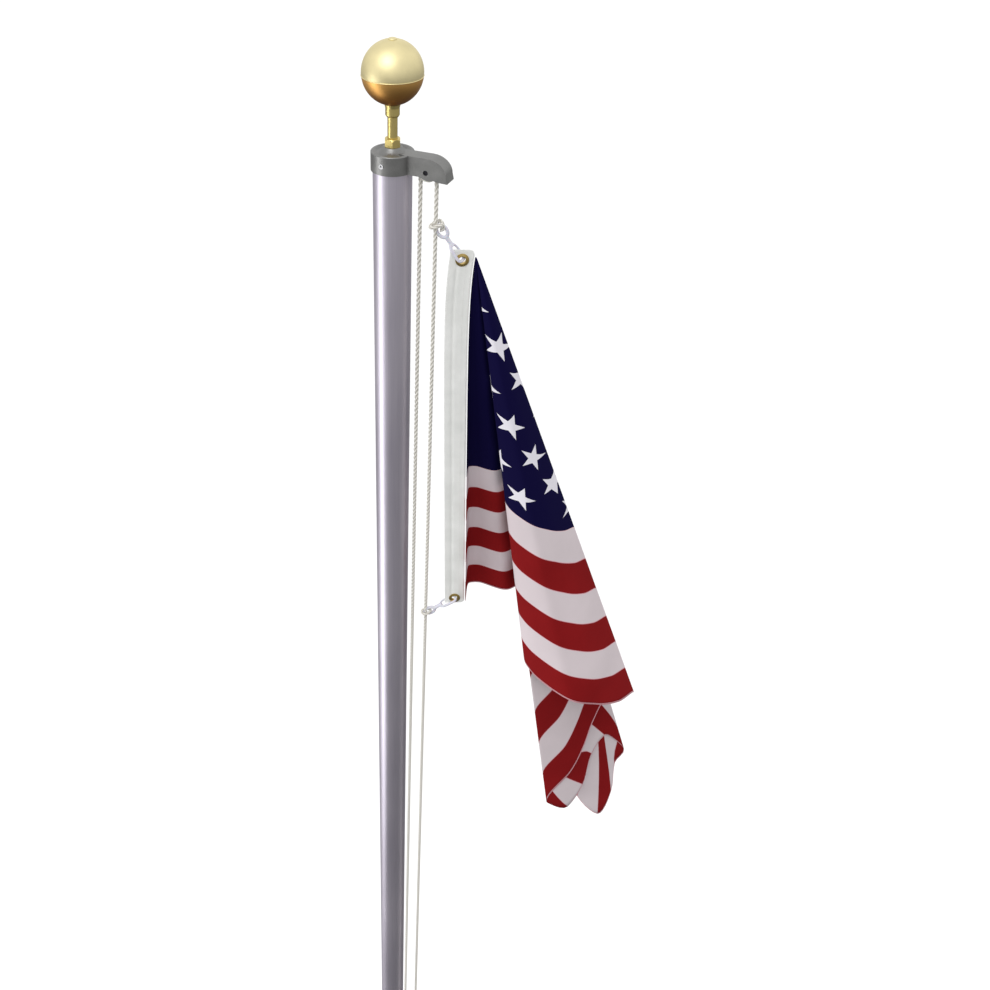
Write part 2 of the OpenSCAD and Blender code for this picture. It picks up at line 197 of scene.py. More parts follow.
def joined(parts):
    verts, faces = [], []
    for more_verts, more_faces in parts:
        start = len(verts)
        verts += more_verts
        faces += [tuple(i + start for i in face) for face in more_faces]
    return verts, faces


def lay_uvs(piece, name, places):
    """Gives each corner of the mesh its flat place."""
    layer = piece.data.uv_layers.new(name=name)
    for loop in piece.data.loops:
        layer.data[loop.index].uv = places[loop.vertex_index]


def thicken(piece, thickness):
    solid = piece.modifiers.new("thickness", "SOLIDIFY")
    solid.thickness = thickness
    solid.offset = 0


def fuse(piece, voxel, smoothing):
    """Melts overlapping shapes into one moulded skin."""
    remesh = piece.modifiers.new("fuse", "REMESH")
    remesh.mode = "VOXEL"
    remesh.voxel_size = voxel
    remesh.use_smooth_shade = True
    smooth = piece.modifiers.new("smooth", "SMOOTH")
    smooth.factor = 0.5
    smooth.iterations = smoothing
    apply_modifiers(piece)
    piece.data.shade_smooth()


# ---------------------------------------------------------------- materials

class Paint:
    """A material with one Principled shader, and short ways to add nodes to it."""

    def __init__(self, name, color, roughness, metallic=0.0, **extra):
        self.material = bpy.data.materials.new(name)
        self.material.use_nodes = True
        self.tree = self.material.node_tree
        self.shader = self.tree.nodes["Principled BSDF"]
        self.set("Base Color", (*color, 1))
        self.set("Roughness", roughness)
        self.set("Metallic", metallic)
        for socket, value in extra.items():
            self.set(socket.replace("_", " "), value)

    def set(self, socket, value):
        self.shader.inputs[socket].default_value = value

    def node(self, kind, settings=None, **inputs):
        made = self.tree.nodes.new("ShaderNode" + kind)
        for key, value in (settings or {}).items():
            setattr(made, key, value)
        for key, value in inputs.items():
            self.feed(made.inputs[key.replace("_", " ")], value)
        return made

    def feed(self, socket, value):
        if isinstance(value, bpy.types.NodeSocket):
            self.tree.links.new(value, socket)
        else:
            socket.default_value = value

    def math(self, operation, *values):
        made = self.tree.nodes.new("ShaderNodeMath")
        made.operation = operation
        for socket, value in zip(made.inputs, values):
            self.feed(socket, value)
        return made.outputs[0]

    def place(self, scale=(1, 1, 1)):
        """Object coordinates in metres, stretched."""
        made = self.node("Mapping", Vector=self.node("TexCoord").outputs["Object"])
        made.inputs["Scale"].default_value = scale
        return made.outputs[0]

    def noise(self, scale, detail=3.0, stretch=(1, 1, 1)):
        place = self.place(stretch)
        return self.node("TexNoise", Vector=place, Scale=scale, Detail=detail).outputs["Fac"]

    def ramp(self, value, stops):
        made = self.tree.nodes.new("ShaderNodeValToRGB")
        self.feed(made.inputs[0], value)
        elements = made.color_ramp.elements
        while len(elements) < len(stops):
            elements.new(0.5)
        for element, (at, color) in zip(elements, stops):
            element.position = at
            element.color = (*color, 1)
        return made.outputs[0]

    def mix(self, amount, a, b, blend="MIX"):
        made = self.tree.nodes.new("ShaderNodeMix")
        made.data_type = "RGBA"
        made.blend_type = blend
        self.feed(made.inputs[0], amount)
        for socket, value in ((made.inputs[6], a), (made.inputs[7], b)):
            self.feed(socket, value if isinstance(value, bpy.types.NodeSocket) else (*value, 1))
        return made.outputs[2]

    def color(self, socket):
        self.feed(self.shader.inputs["Base Color"], socket)

    def roughness(self, value, low, high):
        self.feed(self.shader.inputs["Roughness"],
                  self.node("MapRange", Value=value, To_Min=low, To_Max=high).outputs[0])

    def bump(self, height, distance, strength=1.0):
        made = self.node("Bump", Height=height, Distance=distance, Strength=strength)
        self.feed(self.shader.inputs["Normal"], made.outputs[0])


def shade(color, factor):
    return tuple(min(1.0, c * factor) for c in color)


def drawn_aluminium():
    paint = Paint("drawn_aluminium", (0.50, 0.475, 0.56), 0.40, 0.9)
    streaks = paint.noise(700, 4, (1, 1, 0.012))
    cloud = paint.noise(14, 3, (1, 1, 0.3))
    mottle = paint.math("ADD", paint.math("MULTIPLY", streaks, 0.4), paint.math("MULTIPLY", cloud, 0.6))
    paint.color(paint.ramp(mottle, [(0.3, (0.53, 0.495, 0.58)), (0.7, (0.65, 0.61, 0.69))]))
    paint.roughness(mottle, 0.36, 0.50)
    paint.bump(streaks, 0.04 * MM, 0.5)
    return paint.material


def spun_aluminium():
    paint = Paint("spun_aluminium", (0.60, 0.60, 0.63), 0.3, 1.0)
    rings = paint.noise(500, 2, (0.05, 0.05, 1))
    paint.color(paint.ramp(rings, [(0.3, (0.52, 0.52, 0.55)), (0.7, (0.68, 0.68, 0.71))]))
    paint.roughness(rings, 0.24, 0.40)
    paint.bump(rings, 0.05 * MM, 0.5)
    return paint.material


def cast_aluminium(name, color):
    paint = Paint(name, color, 0.5, 0.85)
    grain = paint.noise(900, 3)
    cloud = paint.noise(60, 4)
    paint.color(paint.ramp(paint.math("ADD", paint.math("MULTIPLY", grain, 0.35),
                                      paint.math("MULTIPLY", cloud, 0.65)),
                           [(0.3, shade(color, 0.86)), (0.7, shade(color, 1.14))]))
    paint.roughness(cloud, 0.36, 0.50)
    paint.bump(grain, 0.08 * MM, 0.6)
    return paint.material


def gold(name, color, roughness, brush=(1, 1, 1)):
    paint = Paint(name, color, roughness, 1.0)
    fine = paint.noise(800, 3, brush)
    cloud = paint.noise(40, 3)
    paint.color(paint.ramp(cloud, [(0.3, shade(color, 0.93)), (0.7, shade(color, 1.06))]))
    paint.roughness(fine, roughness * 0.85, roughness * 1.25)
    paint.bump(fine, 0.02 * MM, 0.4)
    return paint.material


def lower_gold_with_painted_shade(low_z, high_z):
    """Painted shade on the ball's lower half: anodised gold that runs from deep brown at the bottom of the
    ball to gold at its seam, darker than the upper half, as the underside falls in shade.
    """
    pale, deep = (0.72, 0.41, 0.125), (0.30, 0.115, 0.022)
    paint = Paint("lower_gold", pale, 0.44, 1.0)
    height = paint.node("SeparateXYZ", Vector=paint.place()).outputs[2]
    rise = paint.node("MapRange", Value=height, From_Min=low_z, From_Max=high_z).outputs[0]
    patchy = paint.math("ADD", rise, paint.math("MULTIPLY", paint.noise(45, 3), 0.12))
    # painted shade: the colour darkens from the seam towards the bottom of the ball
    paint.color(paint.ramp(patchy, [(0.25, deep), (1.0, pale)]))
    fine = paint.noise(800, 3)
    paint.roughness(fine, 0.38, 0.52)
    paint.bump(fine, 0.02 * MM, 0.4)
    return paint.material


def steel(name, color):
    paint = Paint(name, color, 0.42, 1.0)
    cloud = paint.noise(600, 3)
    paint.color(paint.ramp(cloud, [(0.3, shade(color, 0.83)), (0.7, shade(color, 1.15))]))
    paint.roughness(cloud, 0.36, 0.52)
    return paint.material


def moulded_nylon(name, color, glow):
    paint = Paint(name, color, 0.32, Subsurface_Weight=glow, Subsurface_Scale=2 * MM)
    cloud = paint.noise(120, 2)
    paint.color(paint.ramp(cloud, [(0.3, shade(color, 0.96)), (0.7, shade(color, 1.03))]))
    paint.bump(paint.noise(500, 2), 0.03 * MM, 0.4)
    return paint.material


def laid_rope():
    """White fibre strands, with shade painted darker in the hollows between them, where the attribute
    `groove_shade` is 1.
    """
    paint = Paint("laid_rope", (0.86, 0.85, 0.83), 0.8, Sheen_Weight=0.2)
    groove_shade = paint.node("Attribute", {"attribute_name": "groove_shade"}).outputs["Fac"]
    fibre = paint.noise(1500, 3)
    lit = paint.ramp(fibre, [(0.3, (0.72, 0.70, 0.645)), (0.7, (0.86, 0.84, 0.785))])
    # painted shade: the hollows between the strands are darker than the lit fibre
    paint.color(paint.mix(groove_shade, lit, (0.43, 0.41, 0.355)))
    paint.bump(fibre, 0.15 * MM, 0.6)
    return paint.material


def canvas():
    paint = Paint("canvas", (0.76, 0.755, 0.735), 0.85, Sheen_Weight=0.15)
    place = paint.node("TexCoord").outputs["UV"]
    threads = []
    for direction in ("X", "Y"):
        wave = paint.node("TexWave", {"bands_direction": direction}, Vector=place, Scale=1.0 / 1.1)
        threads.append(wave.outputs["Fac"])
    weave = paint.math("MULTIPLY", *threads)
    cloud = paint.noise(35, 4)
    paint.color(paint.mix(paint.math("MULTIPLY", weave, 0.25),
                          paint.ramp(cloud, [(0.3, (0.76, 0.77, 0.745)), (0.7, (0.86, 0.865, 0.845))]),
                          (0.84, 0.84, 0.82)))
    paint.bump(weave, 0.2 * MM, 0.5)
    return paint.material


RED = (0.235, 0.0088, 0.0104)
WHITE = (0.70, 0.62, 0.645)
NAVY = (0.0045, 0.0030, 0.036)
# the lighter pink below is painted along the stripe seams and the hems, as the highlight on their raised
# ridges
STITCH = (0.80, 0.42, 0.47)
STAR_WHITE = (0.80, 0.78, 0.84)
STRIPES = 13
CANTON_FLY = 0.76                # all in hoist lengths, as is the cloth's UV map
CANTON_HOIST = 7 / STRIPES
SEAM_W = 0.016                   # in stripes
HEM_W = 0.0045
STAR_ACROSS = 0.0633
STAR_DOWN = 0.0539
STAR_R = 0.0308


def star_mask(paint, x, y, start_x, start_y):
    """1 inside the five-pointed stars of one of the two interleaved grids."""
    def from_centre(value, start, half):
        """The distance from the middle of the grid's cell, which is 2 * half wide."""
        in_cell = paint.math("WRAP", paint.math("SUBTRACT", value, start), 2 * half, 0)
        return paint.math("SUBTRACT", in_cell, half)

    local_x = from_centre(x, start_x, STAR_ACROSS)
    local_y = from_centre(y, start_y, STAR_DOWN)
    angle = paint.math("ARCTAN2", local_x, paint.math("MULTIPLY", local_y, -1))
    tip = math.radians(72)
    folded = paint.math("ABSOLUTE", from_centre(angle, -tip / 2, tip / 2))
    radius = paint.math("SQRT", paint.math("ADD", paint.math("MULTIPLY", local_x, local_x),
                                           paint.math("MULTIPLY", local_y, local_y)))
    inner = 0.382                                # the notches' radius over the tips' in a regular star
    rise = inner * math.sin(tip / 2)
    run = 1 - inner * math.cos(tip / 2)
    edge = paint.math("ADD", paint.math("MULTIPLY", paint.math("COSINE", folded), rise),
                      paint.math("MULTIPLY", paint.math("SINE", folded), run))
    return paint.math("LESS_THAN", paint.math("MULTIPLY", radius, edge), rise * STAR_R)


def flag_print():
    """Stripes, canton and stars worked out from the cloth's flat coordinates."""
    paint = Paint("flag_print", RED, 0.9, Specular_IOR_Level=0.06)
    split = paint.node("SeparateXYZ", Vector=paint.node("TexCoord").outputs["UV"])
    x, y = split.outputs[0], split.outputs[1]
    stripe = paint.math("MULTIPLY", y, STRIPES)
    is_white = paint.math("FRACT", paint.math("MULTIPLY", paint.math("FLOOR", stripe), 0.5))
    is_white = paint.math("MULTIPLY", is_white, 2)
    dye = paint.noise(9, 4)
    red = paint.ramp(dye, [(0.3, shade(RED, 0.9)), (0.7, shade(RED, 1.12))])
    white = paint.ramp(dye, [(0.3, shade(WHITE, 0.95)), (0.7, shade(WHITE, 1.05))])
    cloth = paint.mix(is_white, red, white)
    # painted highlight: a lighter pink line along each seam between stripes, where the seam's ridge
    # catches the light
    seam = paint.math("LESS_THAN", paint.math("PINGPONG", stripe, 0.5), SEAM_W)
    cloth = paint.mix(paint.math("MULTIPLY", seam, 0.55), cloth, STITCH)
    odd_rows = star_mask(paint, x, y, 0, 0)
    even_rows = star_mask(paint, x, y, STAR_ACROSS, STAR_DOWN)
    above_last = paint.math("LESS_THAN", y, 9 * STAR_DOWN)
    stars = paint.math("MAXIMUM", odd_rows, paint.math("MULTIPLY", even_rows, above_last))
    inside_x = paint.math("COMPARE", x, CANTON_FLY / 2, (CANTON_FLY - STAR_ACROSS) / 2)
    inside_y = paint.math("COMPARE", y, CANTON_HOIST / 2, (CANTON_HOIST - STAR_DOWN) / 2)
    inside = paint.math("MULTIPLY", inside_x, inside_y)
    canton = paint.mix(paint.math("MULTIPLY", stars, inside), NAVY, STAR_WHITE)
    in_canton = paint.math("MULTIPLY", paint.math("LESS_THAN", x, CANTON_FLY),
                           paint.math("LESS_THAN", y, CANTON_HOIST))
    cloth = paint.mix(in_canton, cloth, canton)
    # painted highlight: the same lighter pink along the bottom and fly hems, where the rolled hem catches
    # the light
    hem = paint.math("MAXIMUM", paint.math("GREATER_THAN", y, 1 - HEM_W),
                     paint.math("GREATER_THAN", x, FLY_RATIO - HEM_W))
    paint.color(paint.mix(paint.math("MULTIPLY", hem, 0.85), cloth, STITCH))
    threads = []
    for direction in ("X", "Y"):
        place = paint.node("TexCoord").outputs["UV"]
        wave = paint.node("TexWave", {"bands_direction": direction}, Vector=place, Scale=200.0)
        threads.append(wave.outputs["Fac"])
    paint.bump(paint.math("MULTIPLY", *threads), 0.08 * MM, 0.35)
    return paint.material


# ---------------------------------------------------------------- camera and light

PITCH = math.radians(37.5)
CAMERA_OUT = 1.332                               # horizontal distance to the pole's axis
CAMERA_UP = 0.478                                # height above the cap's rim
SENSOR_MM = 36
LENS_MM = 39.16
SHIFT_ACROSS = 0.1035                            # the photograph's framing, as a share of its width


def make_camera():
    data = bpy.data.cameras.new("camera")
    camera = bpy.data.objects.new("camera", data)
    bpy.context.scene.collection.objects.link(camera)
    camera.location = OUTWARD * CAMERA_OUT + UP * (RIM_Z + CAMERA_UP)
    camera.rotation_euler = (math.pi / 2 - PITCH, 0, VIEW_TURN)
    data.sensor_width = SENSOR_MM
    data.lens = LENS_MM
    data.shift_x = SHIFT_ACROSS
    data.clip_end = 60
    bpy.context.scene.camera = camera


def make_panel_light(name, at, target, width, height, power):
    data = bpy.data.lights.new(name, "AREA")
    data.shape = "RECTANGLE"
    data.size = width
    data.size_y = height
    data.energy = power
    light = bpy.data.objects.new(name, data)
    bpy.context.scene.collection.objects.link(light)
    light.location = at
    light.rotation_euler = (Vector(target) - Vector(at)).to_track_quat("-Z", "Y").to_euler()


def make_world():
    """White above the horizon, and dimmer below it, so that undersides are shaded."""
    world = bpy.data.worlds.new("studio")
    world.use_nodes = True
    tree = world.node_tree
    place = tree.nodes.new("ShaderNodeTexCoord")
    split = tree.nodes.new("ShaderNodeSeparateXYZ")
    spread = tree.nodes.new("ShaderNodeMapRange")
    spread.inputs["From Min"].default_value = -1
    ramp = tree.nodes.new("ShaderNodeValToRGB")
    stops = [(0.0, 0.10), (0.2, 0.20), (0.36, 0.36), (0.5, 0.66), (0.6, 1.0)]
    elements = ramp.color_ramp.elements
    while len(elements) < len(stops):
        elements.new(0.5)
    for element, (at, level) in zip(elements, stops):
        element.position = at
        element.color = (level, level, level, 1)
    tree.links.new(place.outputs["Generated"], split.inputs[0])
    tree.links.new(split.outputs[2], spread.inputs["Value"])
    tree.links.new(spread.outputs[0], ramp.inputs[0])
    tree.links.new(ramp.outputs[0], tree.nodes["Background"].inputs["Color"])
    bpy.context.scene.world = world


def make_stage():
    scene = bpy.context.scene
    scene.view_settings.view_transform = "Standard"
    make_world()
    mesh = bpy.data.meshes.new("floor")
    half = 40
    corners = [(-half, -half, 0), (half, -half, 0), (half, half, 0), (-half, half, 0)]
    mesh.from_pydata(corners, [], [(0, 1, 2, 3)])
    floor = bpy.data.objects.new("floor", mesh)
    scene.collection.objects.link(floor)
    floor.location.z = -1 * MM
    floor.visible_diffuse = False
    floor.visible_glossy = False
    paint = Paint("floor", (0.93, 0.93, 0.93), 0.9)
    paint.set("Emission Color", (1, 1, 1, 1))
    paint.set("Emission Strength", 0.12)
    mesh.materials.append(paint.material)
    top = UP * RIM_Z
    round_left = math.radians(77)
    left = OUTWARD * math.cos(round_left) - ACROSS * math.sin(round_left)
    make_panel_light("side_panel", left * 2.2 + UP * 2.7, UP * 3.3, 1.1, 3.4, 40)
    make_panel_light("key_panel", top + OUTWARD * 1.7 - ACROSS * 0.9 + UP * 2.5, top, 1.6, 1.6, 36)


# ---------------------------------------------------------------- rope

STRANDS = 3
LAY = 23 * MM                                    # one turn of the strands
RING_STEP = 2.6 * MM

# Two figure-eight turns on the cleat, in millimetres from the pole's axis at the cleat's middle
WRAP_ROUTE = [
    (50, 15, 60), (44, 16, 30), (40, 15, -4),
    (38, 10, -26), (37, 0, -32), (40, -11, -25),
    (54, -14, -8), (64, 0, 2), (55, 14, 12),
    (42, 13, 27), (37, 1, 34), (41, -11, 27),
    (57, -16, 14), (71, 0, 3), (58, 17, -12),
    (43, 16, -32), (37, 1, -41), (43, -15, -36),
    (52, -21, -16), (47, -20, 20), (39, -15, 62),
]


def strand_profile(per_strand):
    """One ring of a laid rope, as (angle, radius, groove) for each corner. The crowns' radius is 1."""
    strand_r = 0.52
    offset = 1 - strand_r
    half = math.pi / STRANDS
    ring = []
    for k in range(STRANDS * per_strand):
        angle = 2 * math.pi * k / (STRANDS * per_strand)
        swing = (angle + half) % (2 * half) - half
        radius = offset * math.cos(swing) + math.sqrt(strand_r ** 2 - (offset * math.sin(swing)) ** 2)
        # how far into the hollow between two strands this corner lies; the rope's material paints shade
        # there
        groove_shade = min(1.0, (abs(swing) / half) ** 2.2 * 1.2)
        ring.append((angle, radius, groove_shade))
    return ring


def twist_back(tangents, sides):
    """How far the carried side vector has turned when it comes round to its start."""
    t = tangents[0]
    back = (sides[-1] - t * sides[-1].dot(t)).normalized()
    return math.atan2(back.cross(sides[0]).dot(t), back.dot(sides[0]))


def rope_mesh(name, route, closed, radius, body, material, stands_for=()):
    """A three-strand rope along a route, as one skin that follows the strands round."""
    points, length = even_steps(route, closed, RING_STEP)
    tangents, sides = frames_along(points, closed)
    ring = strand_profile(7)
    count = len(points)
    corners = len(ring)
    turn = 2 * math.pi * length / LAY
    shift = 0
    if closed:
        slip = twist_back(tangents, sides)
        third = 2 * math.pi / STRANDS
        turn = round((turn - slip) / third) * third + slip
        shift = round((turn - slip) / (2 * math.pi) * corners)
    verts, grooves, faces = [], [], []
    for i, (p, t, x) in enumerate(zip(points, tangents, sides)):
        y = t.cross(x)
        phase = turn * i / count
        for angle, r, groove_shade in ring:
            a = angle + phase
            verts.append(p + (x * math.cos(a) + y * math.sin(a)) * (r * radius))
            grooves.append(groove_shade)
    for i in range(count if closed else count - 1):
        j = (i + 1) % count
        over = shift if j == 0 else 0
        for k in range(corners):
            m = (k + 1) % corners
            faces.append((i * corners + k, i * corners + m,
                          j * corners + (m + over) % corners, j * corners + (k + over) % corners))
    if not closed:
        faces.append(tuple(reversed(range(corners))))
        faces.append(tuple(range((count - 1) * corners, count * corners)))
    piece = add_piece(name, verts, faces, body, "rope", material, stands_for)
    attribute = piece.data.attributes.new("groove_shade", "FLOAT", "POINT")
    attribute.data.foreach_set("value", grooves)


def halyard_route():
    centre_line = [OUTER_FOOT] + [mm(*p) + UP * CLEAT_Z for p in WRAP_ROUTE] + [INNER_FOOT]
    route = catmull_rom(centre_line, False, 8)
    arc_steps = 24
    for k in range(arc_steps + 1):
        a = math.pi * (1 - k / arc_steps)
        route.append(AXLE + Vector((math.cos(a), 0, math.sin(a))) * SHEAVE_PITCH_R)
    return route


# Loops of rope round the fall and through the snap's eye: across, outward and up in millimetres
UPPER_KNOT_DEPTH = 88 * MM                       # below the cap's rim
LOWER_KNOT_DEPTH = 772 * MM
KNOT_ROPE_R = 2.7 * MM                           # pulled tight
UPPER_KNOT = [
    (8, -1, -8), (10.2, 1.2, -3), (8, 4.4, 1.6), (3, 7, 1.4), (-3.4, 5.8, -0.8), (-6.8, 0.6, -2.6),
    (-4.6, -5.2, -1.6), (1.6, -6.8, 1.8), (6.6, -4.2, 3.8), (9.4, -2.4, -1.4),
]
LOWER_KNOT = [
    (8.2, -0.6, 2.4), (6.6, 3.4, 1.2), (1.2, 6, -0.6), (-4.4, 3.6, -1.8), (-5.8, -1.4, -1.6),
    (-1.6, -5.8, 0), (4.6, -5, 1.8),
]


def make_ropes(material):
    rope_mesh("halyard_rope", halyard_route(), True, ROPE_R, "pole", material, ("halyard",))
    for name, depth, knot, node in (
        ("upper_knot", UPPER_KNOT_DEPTH, UPPER_KNOT, "upper_hitch"),
        ("lower_knot", LOWER_KNOT_DEPTH, LOWER_KNOT, "lower_hitch"),
    ):
        loop = catmull_rom([beside(fall_point(depth), *p) for p in knot], True, 8)
        rope_mesh(name, loop, True, KNOT_ROPE_R, "flag", material, (node,))


# ---------------------------------------------------------------- snaps

EYE_R = 2.3 * MM
SHANK_R = 3.4 * MM
SHANK_WAIST = 0.5 * MM
HOOK_R = 2.1 * MM
GATE_R = 1.35 * MM


def make_snap(name, eye, hole, material):
    """A moulded snap: an oval eye, a waisted shank, and a hook through the grommet with a gate."""
    along = (hole - eye).normalized()
    front = (OUTWARD - along * OUTWARD.dot(along)).normalized()
    side = along.cross(front)
    slant = math.radians(48)                     # the hook's plane, from square to the header
    hook_wide = front * math.cos(slant) + side * math.sin(slant)
    hook_side = along.cross(hook_wide)
    length = (hole - eye).length / MM

    def at(s, w):
        return eye + (along * s + hook_wide * w) * MM

    turn_steps = 24
    eye_loop = [eye + (along * (9.5 * math.cos(a) + 1) + side * (6.2 * math.sin(a))) * MM
                for a in (2 * math.pi * k / turn_steps for k in range(turn_steps))]
    shank = catmull_rom([at(9, 0), at(14, 0), at(20, 0), at(26, 0)], False, 4)
    hook = catmull_rom([
        at(22, 1.5), at(27, 4.4), at(33, 5.2), at(length - 9, 5.6), at(length - 2.5, 5.2),
        at(length + 0.6, 2.6), at(length + 0.6, -2.6), at(length - 3, -5), at(length - 8, -5),
    ], False, 5)
    gate = catmull_rom([at(24, -2.2), at(29, -4.4), at(35, -5), at(length - 9.4, -5)], False, 5)
    last = len(shank) - 1
    waisted = [SHANK_R - SHANK_WAIST * math.sin(math.pi * k / last) for k in range(len(shank))]
    body = joined([
        tube(eye_loop, [EYE_R] * turn_steps, 14, True, 1.15, front),
        tube(shank, waisted, 14, False, 0.85, hook_side),
        tube(hook, [HOOK_R] * len(hook), 14),
    ])
    piece = add_piece(name + "_body", *body, "flag", "snap_nylon", material, (name,))
    fuse(piece, 0.5 * MM, 4)
    strip = tube(gate, [GATE_R] * len(gate), 10, False, 1.5, hook_side)
    add_piece(name + "_tongue", *strip, "flag", "snap_nylon", material, (name + "_gate",))


def make_snaps(material):
    upper_eye = beside(fall_point(UPPER_KNOT_DEPTH), 8, -1, -8)
    lower_eye = beside(fall_point(LOWER_KNOT_DEPTH), 6.5, -0.5, 1.5)
    make_snap("upper_snap", upper_eye, UPPER_HOLE, material)
    make_snap("lower_snap", lower_eye, LOWER_HOLE, material)


# ---------------------------------------------------------------- header

HEADER_W = 32 * MM
HEADER_T = 1.7 * MM
HEADER_OVER = 8 * MM
CORNER_R = 7 * MM
CREASE_IN = 11 * MM                              # from the header's left edge to its soft crease
HOLE_R = 5.3 * MM
BOW = 8.8 * MM
SEAM_INSETS = (2.2 * MM, 9 * MM)                 # two seams down the cloth's side
END_SEAM = 3.2 * MM                              # from each end to its seam
STITCH_STEP = 3.4 * MM
SEAM_START = 9 * MM


def hoist_bow(down):
    """How far the hoist edge is drawn in towards the pole, this far down from the cloth's corner."""
    part = min(1.0, max(0.0, down / HOIST_LEN))
    return BOW * (1 - math.exp(-part / 0.1)) * (1 - part)


def header_point(u, v):
    """A point on the softly creased header: u from its left edge, v down from its top, in metres."""
    flat = HOIST_TOP + ACROSS * (u - HEADER_W) + DOWN_HOIST * (v - HEADER_OVER)
    flat -= ACROSS * hoist_bow(v - HEADER_OVER)
    crease = math.exp(-((u - CREASE_IN) / (2.2 * MM)) ** 2) * 0.7 * MM
    wave = noise.noise(Vector((u * 40, v * 9, 3))) * 0.5 * MM
    edge = min(1.0, v / (30 * MM))
    return flat + OUTWARD * (wave - crease) * edge


def header_right(v, length):
    """Where the header's right edge is at this height, with its corners rounded."""
    into_corner = max(0.0, CORNER_R - min(v, length - v))
    return HEADER_W - CORNER_R + math.sqrt(max(0.0, CORNER_R ** 2 - into_corner ** 2))


def header_heights(length):
    """How far down each row of the header is, with the rows close together at its rounded corners."""
    rows = 150
    corner = [CORNER_R * (1 - math.cos(math.pi / 2 * k / 8)) for k in range(8)]
    straight = [CORNER_R + (length - 2 * CORNER_R) * k / rows for k in range(rows + 1)]
    return corner + straight + [length - v for v in reversed(corner)]


def punch_holes(piece):
    """Cuts the two grommets' holes, and applies that with the piece's other modifiers."""
    cutters = []
    for at in (UPPER_HOLE, LOWER_HOLE):
        line = [at - OUTWARD * 8 * MM, at + OUTWARD * 8 * MM]
        mesh = bpy.data.meshes.new("cutter")
        corners, sides = tube(line, [HOLE_R] * 2, 40)
        mesh.from_pydata([tuple(c) for c in corners], [], sides)
        cutter = bpy.data.objects.new("cutter", mesh)
        bpy.context.scene.collection.objects.link(cutter)
        cut = piece.modifiers.new("hole", "BOOLEAN")
        cut.operation = "DIFFERENCE"
        cut.solver = "EXACT"
        cut.object = cutter
        cutters.append(cutter)
    apply_modifiers(piece)
    for cutter in cutters:
        bpy.data.objects.remove(cutter)


def header_seams(length):
    """The rows of stitch points: two down the cloth's side, and one across each end."""
    seams = []
    for inset in SEAM_INSETS:
        count = int((length - 14 * MM) / STITCH_STEP)
        seams.append([header_point(HEADER_W - inset, SEAM_START + k * STITCH_STEP)
                      for k in range(count)])
    for height in (END_SEAM, length - END_SEAM):
        seams.append([header_point(4 * MM + k * STITCH_STEP, height) for k in range(7)])
    return seams


def make_header(material, thread):
    length = HOIST_LEN + 2 * HEADER_OVER
    columns = 26
    heights = header_heights(length)
    verts, uvs = [], []
    for v in heights:
        right = header_right(v, length)
        for c in range(columns + 1):
            u = right * c / columns
            verts.append(header_point(u, v))
            uvs.append((u / MM, v / MM))
    n = columns + 1
    faces = [(r * n + c, (r + 1) * n + c, (r + 1) * n + c + 1, r * n + c + 1)
             for r in range(len(heights) - 1) for c in range(columns)]
    piece = add_piece("header_band", verts, faces, "flag", "header_canvas", material, ("flag_header",))
    lay_uvs(piece, "threads", uvs)
    thicken(piece, HEADER_T)
    punch_holes(piece)
    stitches = make_stitches("header_stitches", header_seams(length), thread, "header_canvas")
    return piece, stitches


def make_stitches(name, rows, material, slot):
    """Short raised threads between each row's points, on the front and the back."""
    parts = []
    for row in rows:
        for a, b in zip(row, row[1:]):
            for side in (-1, 1):
                lift = OUTWARD * side * (HEADER_T / 2)
                start = a.lerp(b, 0.15) + lift
                end = a.lerp(b, 0.85) + lift
                peak = (start + end) / 2 + OUTWARD * side * 0.25 * MM
                parts.append(tube([start, peak, end], [0.18 * MM, 0.34 * MM, 0.18 * MM], 6))
    return add_piece(name, *joined(parts), "flag", slot, material)


# ---------------------------------------------------------------- flag

# The cloth hangs from the top of the hoist in folds that fan out from that one corner. Each row is
# [angle in the flat cloth from the hoist, swing outward, swing forward, stretch], as in the CAD.
CREASES = [
    (0, 1.03, 0.6, 1), (4.5, 1.8, -3.7, 1), (8.5, 3.5, -4.2, 1),
    (12, 7.2, -2.9, 1), (16.5, 10.5, -5, 1), (21, 15, -6, 1), (24, 17.7, -5.9, 1),
    (27, 15, -5.3, 1), (31.5, 10.5, -4.3, 1), (34, 9.3, -2, 1), (36, 9, 0.1, 1.01),
    (37.5, 9.6, 1.1, 1.01), (39.5, 11.3, 2.4, 1.01), (42, 13.8, 3.3, 1.01), (45, 16.6, 2.1, 1.01),
    (48, 19, -0.5, 1.01), (50, 20.7, -3.2, 1.01), (50.5, 18, -3.4, 1), (52.5, 15.7, -2.6, 1),
    (55, 13.9, -1.8, 1), (57, 12.2, -1.3, 1), (59, 9.5, -0.8, 1.006), (61, 11.4, -1.4, 1.06),
    (63, 13.1, -2.2, 1.045), (65, 14.5, -3, 1), (67.5, 16.4, -3.6, 0.98), (68.5, 17.8, -4, 1.05),
    (69.5, 16.6, -3.9, 1.09), (72, 15.6, -3.7, 1.19), (74.5, 13.9, -3.4, 1.27), (78, 12.2, -3.5, 1.19),
    (82, 15, -4, 1.12), (86, 12.9, -4.2, 1.09), (90, 15, -4.6, 1.05),
]
CLOTH_OFF = 1.5 * MM
CLOTH_T = 0.5 * MM


def gentle_slopes(xs, ys):
    """Slopes for a cubic through the points that never overshoots them."""
    steps = [(y1 - y0) / (x1 - x0) for x0, x1, y0, y1 in zip(xs, xs[1:], ys, ys[1:])]
    slopes = [steps[0]]
    for before, after in zip(steps, steps[1:]):
        slopes.append(0.0 if before * after <= 0 else 2 * before * after / (before + after))
    return slopes + [steps[-1]]


